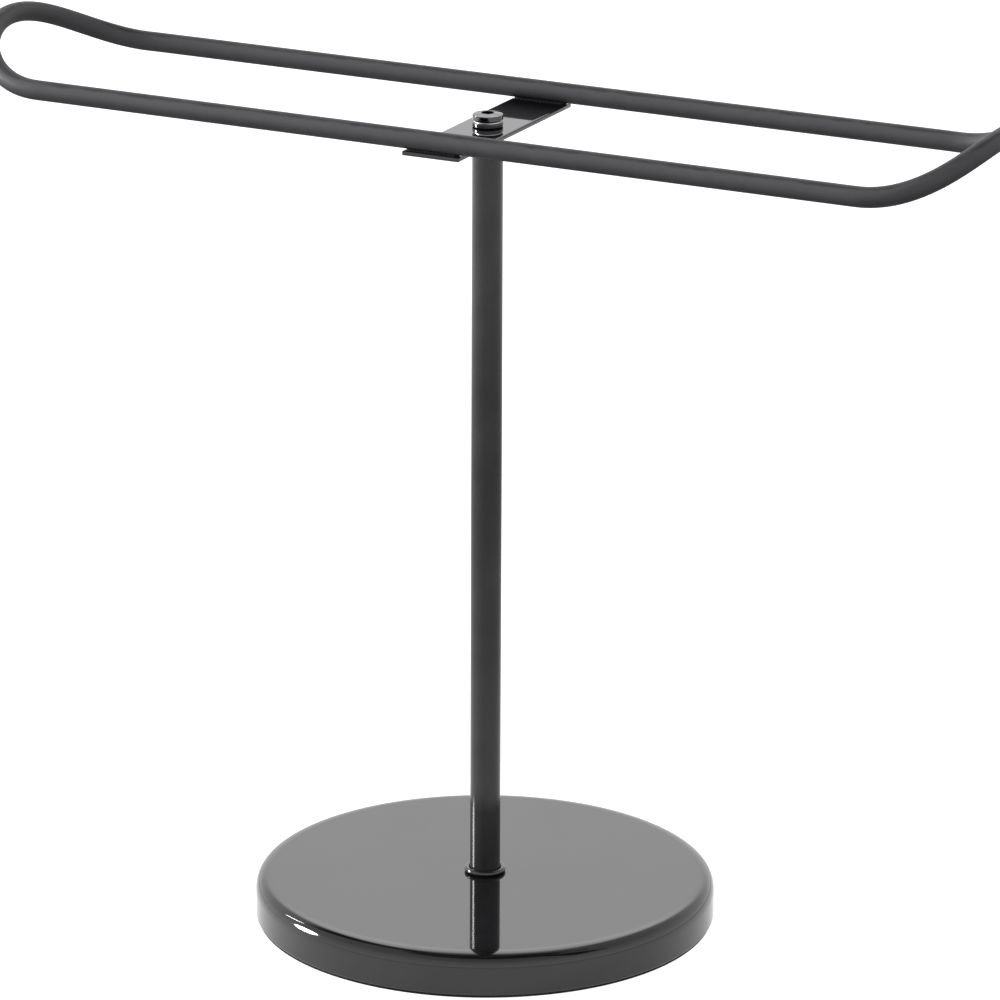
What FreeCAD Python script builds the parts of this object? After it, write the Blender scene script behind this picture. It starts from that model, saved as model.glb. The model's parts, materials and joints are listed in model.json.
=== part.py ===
import FreeCAD, Part
import math
import os

import Sketcher
from FreeCAD import Placement, Rotation, Vector

# A small rotating display rack. A round lacquered base carries a slim pole. A flat cross plate turns on a
# shoulder screw at the pole's top, and a closed loop of round wire, bent up at both ends, is welded to it.
# Frame: +Z up, origin on the floor at the pole's axis, +X along the two bars.

# Driving dimensions in millimetres: name, value, meaning.
DIMENSIONS = [
    ("base_diameter", 100.0, "lacquered cover, outside"),
    ("base_height", 9.6, "floor to the cover's top, pad included"),
    ("base_edge_reach", 4.6, "soft top edge of the cover, measured inwards"),
    ("base_edge_drop", 3.7, "soft top edge of the cover, measured downwards"),
    ("base_edge_fullness", 0.7, "share by which the soft edge's control points reach towards its corner"),
    ("base_rim_radius", 0.4, "rounding of the cover's lower rim"),
    ("cover_wall", 1.2, "sheet thickness of the cover"),
    ("cover_inner_radius", 2.2, "rounding inside the cover's top edge"),
    ("cover_hole", 4.4, "clearance hole for the base bolt"),
    ("weight_play", 0.2, "gap between the weight and the cover's wall"),
    ("weight_edge_radius", 3.0, "rounding of the weight's top edge"),
    ("recess_diameter", 12.0, "recess in the weight for the bolt's head"),
    ("recess_depth", 5.0, "depth of that recess"),
    ("pad_diameter", 99.2, "anti-slip sheet"),
    ("pad_thickness", 0.6, "anti-slip sheet"),
    ("pad_hole", 16.0, "access to the base bolt"),
    ("bolt_diameter", 4.0, "base bolt, thread crests"),
    ("bolt_pitch", 0.7, "base bolt, thread pitch"),
    ("bolt_length", 16.0, "base bolt, below its head"),
    ("bolt_head_diameter", 7.0, "base bolt"),
    ("bolt_head_height", 2.8, "base bolt"),
    ("bolt_key", 3.0, "base bolt, hexagon across flats"),
    ("bolt_washer_hole", 4.3, "both washers on the base bolt"),
    ("flat_washer_diameter", 9.0, "plain washer on the base bolt"),
    ("flat_washer_thickness", 0.8, "plain washer on the base bolt"),
    ("split_washer_diameter", 7.2, "split washer on the base bolt"),
    ("split_washer_thickness", 1.0, "split washer on the base bolt"),
    ("split_width", 0.7, "gap in the split washer"),
    ("pole_diameter", 6.6, "solid round rod"),
    ("pole_end_chamfer", 0.3, "both ends of the rod"),
    ("pole_lower_tap", 12.0, "depth of the lower threaded hole"),
    ("pole_upper_tap", 10.0, "depth of the upper threaded hole"),
    ("ring_section", 1.2, "rubber ring at the pole's foot"),
    ("wire_diameter", 4.3, "wire of the loop"),
    ("bar_spacing", 50.0, "between the bars' centrelines"),
    ("bar_height", 179.2, "floor to the bars' centrelines"),
    ("end_reach", 118.8, "pole axis to the end's centreline, measured along the flat wire"),
    ("bend_start", 95.6, "pole axis to where the ends begin to rise"),
    ("bend_radius", 28.0, "radius on which the ends are bent up"),
    ("plate_length", 53.0, "cross plate, across the bars"),
    ("plate_width", 13.2, "cross plate, along the bars"),
    ("plate_thickness", 1.0, "cross plate"),
    ("plate_edge_break", 0.3, "rounding of all edges of the cross plate"),
    ("weld_gap", 0.25, "cross plate to the underside of the bars"),
    ("weld_width", 1.6, "weld seams, across the bars"),
    ("weld_length", 12.2, "weld seams, along the bars"),
    ("shoulder_diameter", 4.0, "pivot screw, bearing surface"),
    ("running_clearance", 0.05, "radial, between the shoulder and the bushing"),
    ("end_play", 0.08, "axial, on each side of the turning head"),
    ("bushing_diameter", 5.2, "sleeve of the bushing"),
    ("bushing_flange_diameter", 6.4, "flange under the cross plate"),
    ("bushing_flange_thickness", 0.5, "flange under the cross plate"),
    ("thrust_washer_diameter", 6.4, "washer on the pole's top"),
    ("thrust_washer_thickness", 0.5, "washer on the pole's top"),
    ("pivot_washer_hole", 4.2, "washers on the pivot screw"),
    ("upper_washer_diameter", 6.5, "washer above the cross plate"),
    ("upper_washer_thickness", 1.0, "washer above the cross plate"),
    ("disc_spring_diameter", 5.8, "conical spring washer"),
    ("disc_spring_height", 0.5, "conical spring washer"),
    ("disc_spring_sheet", 0.25, "conical spring washer"),
    ("screw_head_diameter", 6.5, "pivot screw"),
    ("screw_head_side", 1.1, "straight side of the pivot screw's head"),
    ("screw_head_dome", 0.4, "rise of the dome above that side"),
    ("screw_key", 2.5, "pivot screw, hexagon across flats"),
    ("screw_key_depth", 1.0, "pivot screw, depth of the hexagon"),
    ("screw_thread_diameter", 3.0, "pivot screw, thread crests"),
    ("screw_thread_length", 8.0, "pivot screw"),
    ("screw_pitch", 0.5, "pivot screw, thread pitch"),
]

# Levels and radii that follow from them, as expressions for the sub-parts below.
BOLT_SEAT = "(dims.pad_thickness + dims.recess_depth)"
FLAT_WASHER_LEVEL = f"({BOLT_SEAT} - dims.flat_washer_thickness)"
SPLIT_WASHER_LEVEL = f"({FLAT_WASHER_LEVEL} - dims.split_washer_thickness)"
PLATE_TOP = "(dims.bar_height - dims.wire_diameter / 2 - dims.weld_gap)"
PLATE_BOTTOM = f"({PLATE_TOP} - dims.plate_thickness)"
BUSHING_LEVEL = f"({PLATE_BOTTOM} - dims.bushing_flange_thickness)"
POLE_TOP = f"({BUSHING_LEVEL} - dims.end_play - dims.thrust_washer_thickness)"
UPPER_WASHER_LEVEL = f"({PLATE_TOP} + dims.end_play)"
DISC_SPRING_LEVEL = f"({UPPER_WASHER_LEVEL} + dims.upper_washer_thickness)"
SCREW_HEAD_LEVEL = f"({DISC_SPRING_LEVEL} + dims.disc_spring_height)"
SHOULDER_LENGTH = f"({SCREW_HEAD_LEVEL} - {POLE_TOP})"

END_SPANS = 24
VOLUME_TOLERANCE = 0.01
EDGE_TOLERANCE = 0.001

# Numbers by which a sketch knows the points of its geometry.
START, END, CENTRE = 1, 2, 3

doc = FreeCAD.newDocument("rotating_display_rack")
subparts = []


def make_sheet():
    sheet = doc.addObject("Spreadsheet::Sheet", "dims")
    for row, (alias, value, meaning) in enumerate(DIMENSIONS, start=1):
        sheet.set(f"A{row}", alias)
        sheet.set(f"B{row}", str(value))
        sheet.set(f"C{row}", meaning)
        sheet.setAlias(f"B{row}", alias)
    doc.recompute()
    return sheet


dims = make_sheet()


def size(alias):
    return float(dims.get(alias))


# ---------------------------------------------------------------- helpers


def add_body(name, level="0"):
    """A body whose own zero level stands at the given height above the floor."""
    body = doc.addObject("PartDesign::Body", name)
    body.Label = name
    body.setExpression("Placement.Base.z", level)
    subparts.append(body)
    return body


def origin_feature(body, role):
    for feature in body.Origin.OriginFeatures:
        if feature.Role == role:
            return feature
    raise ValueError(f"{body.Label} has no {role}")


def add_sketch(body, role, name, level=None):
    sketch = body.newObject("Sketcher::SketchObject", name)
    sketch.AttachmentSupport = (origin_feature(body, role), "")
    sketch.MapMode = "FlatFace"
    if level is not None:
        sketch.setExpression("AttachmentOffset.Base.z", level)
    return sketch


def bind(sketch, constraint, expression):
    """Adds a constraint and ties its value to an expression on the sheet."""
    index = sketch.addConstraint(constraint)
    sketch.setExpression(f"Constraints[{index}]", expression)


def draw_circle(sketch, diameter):
    """A circle centred on the sketch's origin."""
    circle = sketch.addGeometry(Part.Circle(Vector(0, 0, 0), Vector(0, 0, 1), 1.0))
    sketch.addConstraint(Sketcher.Constraint("Coincident", circle, CENTRE, -1, 1))
    bind(sketch, Sketcher.Constraint("Diameter", circle, 2.0), diameter)


def draw_profile(sketch, corners, arc_after=None):
    """A closed outline through corners given as pairs of expressions, x then y.

    Sides are straight, apart from the one after corner arc_after: it is an arc centred on the sketch's
    vertical axis that ends on that axis.
    """
    values = [tuple(evaluate(sketch, text) for text in corner) for corner in corners]
    points = [Vector(x, y, 0) for x, y in values]
    sides = []
    for index, start in enumerate(points):
        end = points[(index + 1) % len(points)]
        if index == arc_after:
            rise = end.y - start.y
            radius = (start.x**2 + rise**2) / (2 * rise)
            centre = Vector(0, end.y - radius, 0)
            lean = math.atan2(start.y - centre.y, start.x)
            circle = Part.Circle(centre, Vector(0, 0, 1), radius)
            sides.append(sketch.addGeometry(Part.ArcOfCircle(circle, lean, math.pi / 2)))
        else:
            sides.append(sketch.addGeometry(Part.LineSegment(start, end)))
    for index, side in enumerate(sides):
        following = sides[(index + 1) % len(sides)]
        sketch.addConstraint(Sketcher.Constraint("Coincident", side, END, following, START))
    if arc_after is not None:
        sketch.addConstraint(Sketcher.Constraint("PointOnObject", sides[arc_after], CENTRE, -2))
    for side, corner, (x, y) in zip(sides, corners, values):
        pin_coordinate(sketch, side, "X", corner[0], x)
        pin_coordinate(sketch, side, "Y", corner[1], y)


def pin_coordinate(sketch, side, direction, expression, value, point=START):
    """Fixes one coordinate of a side's point: on an axis when it is zero, else at a bound distance."""
    if expression == "0":
        axis = -2 if direction == "X" else -1
        sketch.addConstraint(Sketcher.Constraint("PointOnObject", side, point, axis))
        return
    distance = Sketcher.Constraint(f"Distance{direction}", -1, 1, side, point, value)
    bind(sketch, distance, expression)


def add_free_curve(sketch, controls):
    """A smooth curve given by four control points, each a pair of expressions, x then y."""
    values = [tuple(evaluate(sketch, text) for text in control) for control in controls]
    poles = [Vector(x, y, 0) for x, y in values]
    spline = Part.BSplineCurve()
    spline.buildFromPolesMultsKnots(poles, [4, 4], [0.0, 1.0], False, 3)
    curve = sketch.addGeometry(spline)
    role = "InternalAlignment:Sketcher::BSplineControlPoint"
    for index, (control, value) in enumerate(zip(controls, values)):
        marker = sketch.addGeometry(Part.Circle(poles[index], Vector(0, 0, 1), 1.0), True)
        sketch.addConstraint(Sketcher.Constraint(role, marker, CENTRE, curve, index))
        sketch.addConstraint(Sketcher.Constraint("Weight", marker, 1.0))
        pin_coordinate(sketch, marker, "X", control[0], value[0], CENTRE)
        pin_coordinate(sketch, marker, "Y", control[1], value[1], CENTRE)
    return curve, poles[0], poles[-1]


def draw_sheet_profile(sketch, controls, corners, arc_after, arc_radius):
    """A closed outline: a free curve through its controls, then sides through corners.

    Sides are straight, apart from the one after corner arc_after: it is a quarter circle that turns from
    upwards to inwards.
    """
    curve, first, last = add_free_curve(sketch, controls)
    values = [tuple(evaluate(sketch, text) for text in corner) for corner in corners]
    points = [Vector(x, y, 0) for x, y in values]
    sides = [curve, sketch.addGeometry(Part.LineSegment(last, points[0]))]
    for index, (start, end) in enumerate(zip(points, points[1:] + [first])):
        if index == arc_after:
            centre = Vector(end.x, start.y, 0)
            circle = Part.Circle(centre, Vector(0, 0, 1), evaluate(sketch, arc_radius))
            sides.append(sketch.addGeometry(Part.ArcOfCircle(circle, 0.0, math.pi / 2)))
            bind(sketch, Sketcher.Constraint("Radius", sides[-1], circle.Radius), arc_radius)
        else:
            sides.append(sketch.addGeometry(Part.LineSegment(start, end)))
    for side, following in zip(sides, sides[1:] + sides[:1]):
        sketch.addConstraint(Sketcher.Constraint("Coincident", side, END, following, START))
    for side, corner, value in zip(sides[2:], corners, values):
        pin_coordinate(sketch, side, "X", corner[0], value[0])
        pin_coordinate(sketch, side, "Y", corner[1], value[1])


def evaluate(owner, expression):
    result = owner.evalExpression(expression)
    return float(getattr(result, "Value", result))


def pad(body, sketch, length, name="pad"):
    feature = body.newObject("PartDesign::Pad", name)
    feature.Profile = sketch
    feature.setExpression("Length", length)
    doc.recompute()
    return feature


def pocket(body, sketch, depth, name, upwards):
    """Cuts from the sketch's plane upwards or downwards and makes sure that it did cut."""
    before = body.Shape.Volume
    feature = body.newObject("PartDesign::Pocket", name)
    feature.Profile = sketch
    feature.Reversed = upwards
    feature.setExpression("Length", depth)
    doc.recompute()
    if body.Shape.Volume >= before:
        raise ValueError(f"{body.Label}: {name} cuts nothing")
    return feature


def revolve(body, sketch, name="revolution"):
    feature = body.newObject("PartDesign::Revolution", name)
    feature.Profile = sketch
    feature.ReferenceAxis = (sketch, ["V_Axis"])
    feature.Angle = 360.0
    doc.recompute()
    return feature


def circular_edges(shape, radius, level):
    """Names of the full circles of a radius at a height in the body's own frame."""
    names = []
    for index, edge in enumerate(shape.Edges, start=1):
        curve = edge.Curve
        if not isinstance(curve, Part.Circle) or not edge.isClosed():
            continue
        if max(abs(curve.Radius - radius), abs(curve.Center.z - level)) < EDGE_TOLERANCE:
            names.append(f"Edge{index}")
    return names


def dress(body, kind, base, edges, size_property, expression, name):
    """A Fillet or Chamfer on named edges of the feature below it."""
    feature = body.newObject(f"PartDesign::{kind}", name)
    feature.Base = (base, edges)
    feature.setExpression(size_property, expression)
    doc.recompute()
    return feature


def hexagon_recess(body, level, across_flats, depth, upwards):
    sketch = add_sketch(body, "XY_Plane", "key_sketch", level)
    radius = evaluate(sketch, across_flats) / math.sqrt(3)
    turns = [math.radians(60 * step) for step in range(6)]
    points = [Vector(radius * math.cos(turn), radius * math.sin(turn), 0) for turn in turns]
    sides = []
    for start, end in zip(points, points[1:] + points[:1]):
        sides.append(sketch.addGeometry(Part.LineSegment(start, end)))
    for side, following in zip(sides, sides[1:] + sides[:1]):
        sketch.addConstraint(Sketcher.Constraint("Coincident", side, END, following, START))
    guide = sketch.addGeometry(Part.Circle(Vector(0, 0, 0), Vector(0, 0, 1), radius), True)
    sketch.addConstraint(Sketcher.Constraint("Coincident", guide, CENTRE, -1, 1))
    bind(sketch, Sketcher.Constraint("Radius", guide, radius), f"{across_flats} / sqrt(3)")
    for side in sides:
        sketch.addConstraint(Sketcher.Constraint("PointOnObject", side, START, guide))
    for side in sides[1:]:
        sketch.addConstraint(Sketcher.Constraint("Equal", sides[0], side))
    sketch.addConstraint(Sketcher.Constraint("PointOnObject", sides[0], START, -1))
    pocket(body, sketch, depth, "key_recess", upwards)


def thread_rings(body, diameter, pitch, lowest, count):
    """Thread grooves, drawn as rings one pitch apart, upwards from the lowest one."""
    before = body.Shape.Volume
    crest = f"{diameter} / 2"
    root = f"{diameter} / 2 - 0.6 * {pitch}"
    sketch = add_sketch(body, "XZ_Plane", "thread_sketch")
    draw_profile(
        sketch,
        [
            (crest, f"{lowest} + 0.1 * {pitch}"),
            (crest, f"{lowest} + 0.9 * {pitch}"),
            (root, f"{lowest} + 0.55 * {pitch}"),
            (root, f"{lowest} + 0.45 * {pitch}"),
        ],
    )
    groove = body.newObject("PartDesign::Groove", "thread_groove")
    groove.Profile = sketch
    groove.ReferenceAxis = (sketch, ["V_Axis"])
    groove.Angle = 360.0
    doc.recompute()
    if body.Shape.Volume >= before:
        raise ValueError(f"{body.Label}: the thread groove cuts nothing")
    pattern = body.newObject("PartDesign::LinearPattern", "thread_pattern")
    pattern.Originals = [groove]
    pattern.Direction = (origin_feature(body, "Z_Axis"), [""])
    pattern.Occurrences = count
    pattern.setExpression("Length", f"{pitch} * {count - 1}")
    body.Tip = pattern
    doc.recompute()


def make_washer(name, level, outer, inner, thickness):
    body = add_body(name, level)
    sketch = add_sketch(body, "XY_Plane", "ring_sketch")
    draw_circle(sketch, outer)
    draw_circle(sketch, inner)
    pad(body, sketch, thickness)
    return body


# ---------------------------------------------------------------- base


def make_base_cover():
    """Drawn sheet cover, open below, with a soft edge round its top and a hole for the base bolt."""
    body = add_body("base_cover", "dims.pad_thickness")
    section = add_sketch(body, "XZ_Plane", "section")
    height = "(dims.base_height - dims.pad_thickness)"
    outside = "dims.base_diameter / 2"
    inside = f"({outside} - dims.cover_wall)"
    ceiling = f"({height} - dims.cover_wall)"
    hole = "dims.cover_hole / 2"
    remainder = "(1 - dims.base_edge_fullness)"
    draw_sheet_profile(
        section,
        controls=[
            (f"{outside} - dims.base_edge_reach", height),
            (f"{outside} - dims.base_edge_reach * {remainder}", height),
            (outside, f"{height} - dims.base_edge_drop * {remainder}"),
            (outside, f"{height} - dims.base_edge_drop"),
        ],
        corners=[
            (outside, "0"),
            (inside, "0"),
            (inside, f"{ceiling} - dims.cover_inner_radius"),
            (f"{inside} - dims.cover_inner_radius", ceiling),
            (hole, ceiling),
            (hole, height),
        ],
        arc_after=2,
        arc_radius="dims.cover_inner_radius",
    )
    sheet = revolve(body, section)
    rim = circular_edges(sheet.Shape, size("base_diameter") / 2, 0.0)
    dress(body, "Fillet", sheet, rim, "Radius", "dims.base_rim_radius", "rim_rounding")


def make_base_weight():
    """Steel disc that fills the cover, with a recess from below for the bolt's head."""
    body = add_body("base_weight", "dims.pad_thickness")
    outline = add_sketch(body, "XY_Plane", "outline")
    draw_circle(outline, "dims.base_diameter - 2 * dims.cover_wall - 2 * dims.weight_play")
    disc = pad(body, outline, "dims.base_height - dims.pad_thickness - dims.cover_wall")
    radius = size("base_diameter") / 2 - size("cover_wall") - size("weight_play")
    top = size("base_height") - size("pad_thickness") - size("cover_wall")
    edge = circular_edges(disc.Shape, radius, top)
    dress(body, "Fillet", disc, edge, "Radius", "dims.weight_edge_radius", "top_rounding")
    recess = add_sketch(body, "XY_Plane", "recess_sketch")
    draw_circle(recess, "dims.recess_diameter")
    pocket(body, recess, "dims.recess_depth", "recess", upwards=True)
    hole = add_sketch(body, "XY_Plane", "bolt_hole_sketch")
    draw_circle(hole, "dims.cover_hole")
    pocket(body, hole, "dims.base_height", "bolt_hole", upwards=True)


def make_base_pad():
    make_washer("base_pad", "0", "dims.pad_diameter", "dims.pad_hole", "dims.pad_thickness")


def make_base_bolt():
    """Cap screw, head down, that pulls the pole onto the base."""
    body = add_body("base_bolt", SPLIT_WASHER_LEVEL)
    profile = add_sketch(body, "XZ_Plane", "profile")
    head = "dims.bolt_head_diameter / 2"
    shank = "dims.bolt_diameter / 2"
    lead = "0.5 * dims.bolt_pitch"
    draw_profile(
        profile,
        [
            ("0", "-dims.bolt_head_height"),
            (f"{head} - 0.3", "-dims.bolt_head_height"),
            (head, "-dims.bolt_head_height + 0.3"),
            (head, "0"),
            (shank, "0"),
            (shank, f"dims.bolt_length - {lead}"),
            (f"{shank} - {lead}", "dims.bolt_length"),
            ("0", "dims.bolt_length"),
        ],
    )
    revolve(body, profile)
    hexagon_recess(body, "-dims.bolt_head_height", "dims.bolt_key", "0.6 * dims.bolt_head_height", True)
    thread_length = size("bolt_length") - (size("base_height") - evaluate(dims, SPLIT_WASHER_LEVEL))
    count = int(thread_length / size("bolt_pitch")) - 1
    lowest = f"dims.bolt_length - {count + 1} * dims.bolt_pitch"
    thread_rings(body, "dims.bolt_diameter", "dims.bolt_pitch", lowest, count)


def make_base_washers():
    make_washer(
        "base_flat_washer",
        FLAT_WASHER_LEVEL,
        "dims.flat_washer_diameter",
        "dims.bolt_washer_hole",
        "dims.flat_washer_thickness",
    )
    split = make_washer(
        "base_split_washer",
        SPLIT_WASHER_LEVEL,
        "dims.split_washer_diameter",
        "dims.bolt_washer_hole",
        "dims.split_washer_thickness",
    )
    gap = add_sketch(split, "XY_Plane", "gap_sketch")
    lean = "0.3 * dims.split_width"
    half = "dims.split_width / 2"
    reach = "dims.split_washer_diameter"
    draw_profile(
        gap,
        [("0", f"-{half}"), (reach, f"{lean} - {half}"), (reach, f"{lean} + {half}"), ("0", half)],
    )
    pocket(split, gap, "dims.split_washer_thickness", "gap", upwards=True)


# ---------------------------------------------------------------- pole


def tapped_hole(body, level, diameter, depth, name, upwards):
    """A blind hole with a drill point, opening at an end of the rod."""
    before = body.Shape.Volume
    sketch = add_sketch(body, "XY_Plane", f"{name}_sketch", level)
    draw_circle(sketch, diameter)
    doc.recompute()
    hole = body.newObject("PartDesign::Hole", name)
    hole.Profile = sketch
    hole.DepthType = "Dimension"
    hole.ThreadType = "None"
    hole.HoleCutType = "None"
    hole.DrillPoint = "Angled"
    hole.Reversed = upwards
    hole.setExpression("Diameter", diameter)
    hole.setExpression("Depth", depth)
    doc.recompute()
    if body.Shape.Volume >= before:
        raise ValueError(f"{body.Label}: {name} cuts nothing")


def make_pole():
    body = add_body("pole", "dims.base_height")
    section = add_sketch(body, "XY_Plane", "section")
    draw_circle(section, "dims.pole_diameter")
    length = f"{POLE_TOP} - dims.base_height"
    rod = pad(body, section, length)
    radius = size("pole_diameter") / 2
    rod_length = evaluate(dims, length)
    ends = circular_edges(rod.Shape, radius, 0.0) + circular_edges(rod.Shape, radius, rod_length)
    dress(body, "Chamfer", rod, ends, "Size", "dims.pole_end_chamfer", "end_chamfers")
    tapped_hole(body, "0", "dims.bolt_diameter", "dims.pole_lower_tap", "lower_thread", True)
    tapped_hole(body, length, "dims.screw_thread_diameter", "dims.pole_upper_tap", "upper_thread", False)


def make_foot_ring():
    """Rubber ring round the pole's foot, resting on the cover."""
    ring = doc.addObject("Part::Torus", "foot_ring")
    ring.Label = "foot_ring"
    ring.setExpression("Radius1", "dims.pole_diameter / 2 + dims.ring_section / 2")
    ring.setExpression("Radius2", "dims.ring_section / 2")
    ring.setExpression("Placement.Base.z", "dims.base_height + dims.ring_section / 2")
    subparts.append(ring)


# ---------------------------------------------------------------- pivot


def make_pivot_washers():
    make_washer(
        "lower_thrust_washer",
        POLE_TOP,
        "dims.thrust_washer_diameter",
        "dims.pivot_washer_hole",
        "dims.thrust_washer_thickness",
    )
    upper = make_washer(
        "upper_washer",
        UPPER_WASHER_LEVEL,
        "dims.upper_washer_diameter",
        "dims.pivot_washer_hole",
        "dims.upper_washer_thickness",
    )
    radius = size("upper_washer_diameter") / 2
    washer = upper.Tip
    rims = circular_edges(washer.Shape, radius, 0.0)
    rims += circular_edges(washer.Shape, radius, size("upper_washer_thickness"))
    dress(upper, "Fillet", washer, rims, "Radius", "0.25 * dims.upper_washer_thickness", "rim_rounding")


def make_disc_spring():
    """Conical spring washer, its wide rim down on the upper washer."""
    body = add_body("disc_spring", DISC_SPRING_LEVEL)
    profile = add_sketch(body, "XZ_Plane", "profile")
    outer = "dims.disc_spring_diameter / 2"
    inner = "dims.pivot_washer_hole / 2"
    rise = "dims.disc_spring_height - dims.disc_spring_sheet"
    draw_profile(
        profile,
        [
            (inner, rise),
            (outer, "0"),
            (outer, "dims.disc_spring_sheet"),
            (inner, "dims.disc_spring_height"),
        ],
    )
    revolve(body, profile)


def make_pivot_screw():
    """Shoulder screw: domed head, smooth bearing shoulder, and a thread into the pole."""
    body = add_body("pivot_screw", SCREW_HEAD_LEVEL)
    profile = add_sketch(body, "XZ_Plane", "profile")
    head = "dims.screw_head_diameter / 2"
    shoulder = "dims.shoulder_diameter / 2"
    thread = "dims.screw_thread_diameter / 2"
    tip = f"-({SHOULDER_LENGTH} + dims.screw_thread_length)"
    lead = "0.5 * dims.screw_pitch"
    draw_profile(
        profile,
        [
            ("0", tip),
            (f"{thread} - {lead}", tip),
            (thread, f"{tip} + {lead}"),
            (thread, f"-{SHOULDER_LENGTH}"),
            (shoulder, f"-{SHOULDER_LENGTH}"),
            (shoulder, "0"),
            (head, "0"),
            (head, "dims.screw_head_side"),
            ("0", "dims.screw_head_side + dims.screw_head_dome"),
        ],
        arc_after=7,
    )
    revolve(body, profile)
    top = "dims.screw_head_side + dims.screw_head_dome"
    hexagon_recess(body, top, "dims.screw_key", "dims.screw_key_depth", False)
    count = int(size("screw_thread_length") / size("screw_pitch")) - 2
    thread_rings(
        body,
        "dims.screw_thread_diameter",
        "dims.screw_pitch",
        f"{tip} + dims.screw_pitch",
        count,
    )


def make_pivot_bushing():
    """Plastic sleeve pressed into the cross plate, its flange below the plate."""
    body = add_body("pivot_bushing", BUSHING_LEVEL)
    profile = add_sketch(body, "XZ_Plane", "profile")
    bore = "dims.shoulder_diameter / 2 + dims.running_clearance"
    flange = "dims.bushing_flange_diameter / 2"
    sleeve = "dims.bushing_diameter / 2"
    top = "dims.bushing_flange_thickness + dims.plate_thickness"
    draw_profile(
        profile,
        [
            (bore, "0"),
            (flange, "0"),
            (flange, "dims.bushing_flange_thickness"),
            (sleeve, "dims.bushing_flange_thickness"),
            (sleeve, top),
            (bore, top),
        ],
    )
    revolve(body, profile)


# ---------------------------------------------------------------- turning head


def make_cross_plate():
    body = add_body("cross_plate", PLATE_BOTTOM)
    outline = add_sketch(body, "XY_Plane", "outline")
    half_x = "dims.plate_width / 2"
    half_y = "dims.plate_length / 2"
    draw_profile(
        outline,
        [
            (f"-{half_x}", f"-{half_y}"),
            (half_x, f"-{half_y}"),
            (half_x, half_y),
            (f"-{half_x}", half_y),
        ],
    )
    strip = pad(body, outline, "dims.plate_thickness")
    every_edge = [f"Edge{index}" for index in range(1, len(strip.Shape.Edges) + 1)]
    dress(body, "Fillet", strip, every_edge, "Radius", "dims.plate_edge_break", "edge_break")
    hole = add_sketch(body, "XY_Plane", "bushing_hole_sketch")
    draw_circle(hole, "dims.bushing_diameter")
    pocket(body, hole, "2 * dims.plate_thickness", "bushing_hole", upwards=True)


def loop_end(turn):
    """A point on the right-hand end's centreline and its direction there.

    In the flat the end is a half circle. It is then wrapped up round a bending cylinder along Y.
    """
    arc_radius = size("bar_spacing") / 2
    along = size("end_reach") - arc_radius + arc_radius * math.cos(turn)
    across = arc_radius * math.sin(turn)
    past_bend = max(along - size("bend_start"), 0.0)
    lift = past_bend / size("bend_radius")
    point = Vector(
        along - past_bend + size("bend_radius") * math.sin(lift),
        across,
        size("bar_height") + size("bend_radius") * (1 - math.cos(lift)),
    )
    outward = -math.sin(turn)
    direction = Vector(outward * math.cos(lift), math.cos(turn), outward * math.sin(lift))
    return point, direction


def make_loop_half_path():
    """Half of the loop's centreline: out along the front bar, round the end and back along the other."""
    turns = [math.pi * (step / END_SPANS - 0.5) for step in range(END_SPANS + 1)]
    points, directions = zip(*[loop_end(turn) for turn in turns])
    end = Part.BSplineCurve()
    end.interpolate(
        Points=list(points),
        Tangents=list(directions),
        TangentFlags=[True] * len(points),
    )
    front = Part.LineSegment(Vector(0, points[0].y, points[0].z), points[0])
    back = Part.LineSegment(points[-1], Vector(0, points[-1].y, points[-1].z))
    path = doc.addObject("Part::Feature", "loop_half_path")
    path.Shape = Part.Wire([front.toShape(), end.toShape(), back.toShape()])
    return path


def make_wire_loop():
    """One closed loop of round wire, made as two mirrored halves joined at the middle of the bars."""
    path = make_loop_half_path()
    section = doc.addObject("Part::Circle", "wire_section")
    section.setExpression("Radius", "dims.wire_diameter / 2")
    section.Placement = Placement(Vector(0, 0, 0), Rotation(Vector(0, 1, 0), 90))
    section.setExpression("Placement.Base.y", "-dims.bar_spacing / 2")
    section.setExpression("Placement.Base.z", "dims.bar_height")
    half = doc.addObject("Part::Sweep", "loop_half")
    half.Sections = [section]
    half.Spine = (path, ["Edge1", "Edge2", "Edge3"])
    half.Solid = True
    half.Frenet = False
    doc.recompute()
    other_half = doc.addObject("Part::Mirroring", "loop_other_half")
    other_half.Source = half
    other_half.Normal = Vector(1, 0, 0)
    loop = doc.addObject("Part::Fuse", "wire_loop")
    loop.Label = "wire_loop"
    loop.Base = half
    loop.Tool = other_half
    loop.Refine = True
    doc.recompute()
    expected = 2 * path.Shape.Length * math.pi * (size("wire_diameter") / 2) ** 2
    if abs(loop.Shape.Volume - expected) > VOLUME_TOLERANCE * expected:
        raise ValueError(f"wire_loop: volume {loop.Shape.Volume:.1f}, expected {expected:.1f}")
    subparts.append(loop)


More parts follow.
